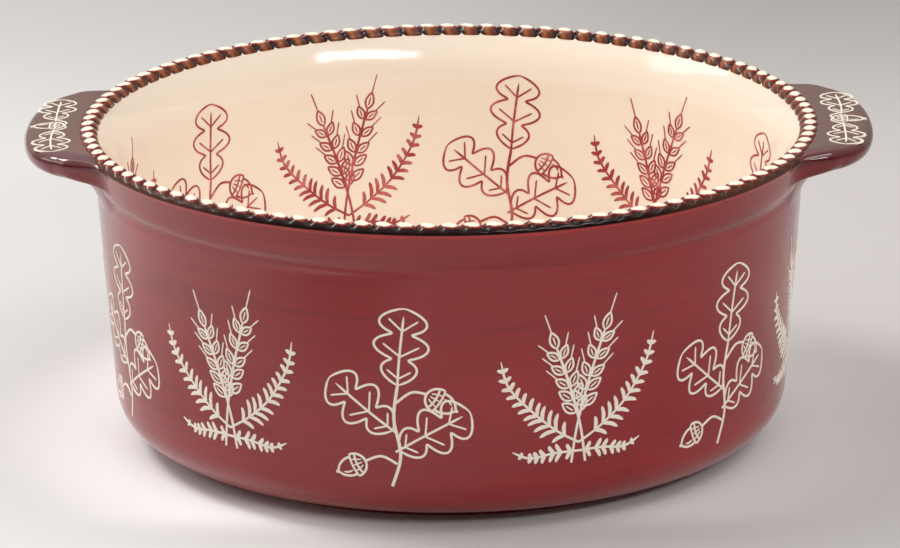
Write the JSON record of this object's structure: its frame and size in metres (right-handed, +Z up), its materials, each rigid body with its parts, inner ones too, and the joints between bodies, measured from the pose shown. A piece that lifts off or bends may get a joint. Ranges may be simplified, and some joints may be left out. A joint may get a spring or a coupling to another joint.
{
  "type": "handled baking dish",
  "caption": "Round stoneware baking dish with a twisted-rope rim, two lug handles and a low foot ring; red glaze outside, cream inside.",
  "frame": {"origin": "centre of the foot ring, on the surface the dish stands on", "axes": "+X runs through the right handle, +Z is up"},
  "size_m": [0.29, 0.2532, 0.1106],
  "materials": {
    "red_glaze": "gloss",
    "brown_glaze": "gloss",
    "cream_glaze": "gloss"
  },
  "bodies": {
    "root": {"bowl": "red_glaze", "rope_rim": "brown_glaze", "foot_ring": "red_glaze", "handle_right": "red_glaze", "handle_left": "red_glaze"}
  },
  "joints": []
}
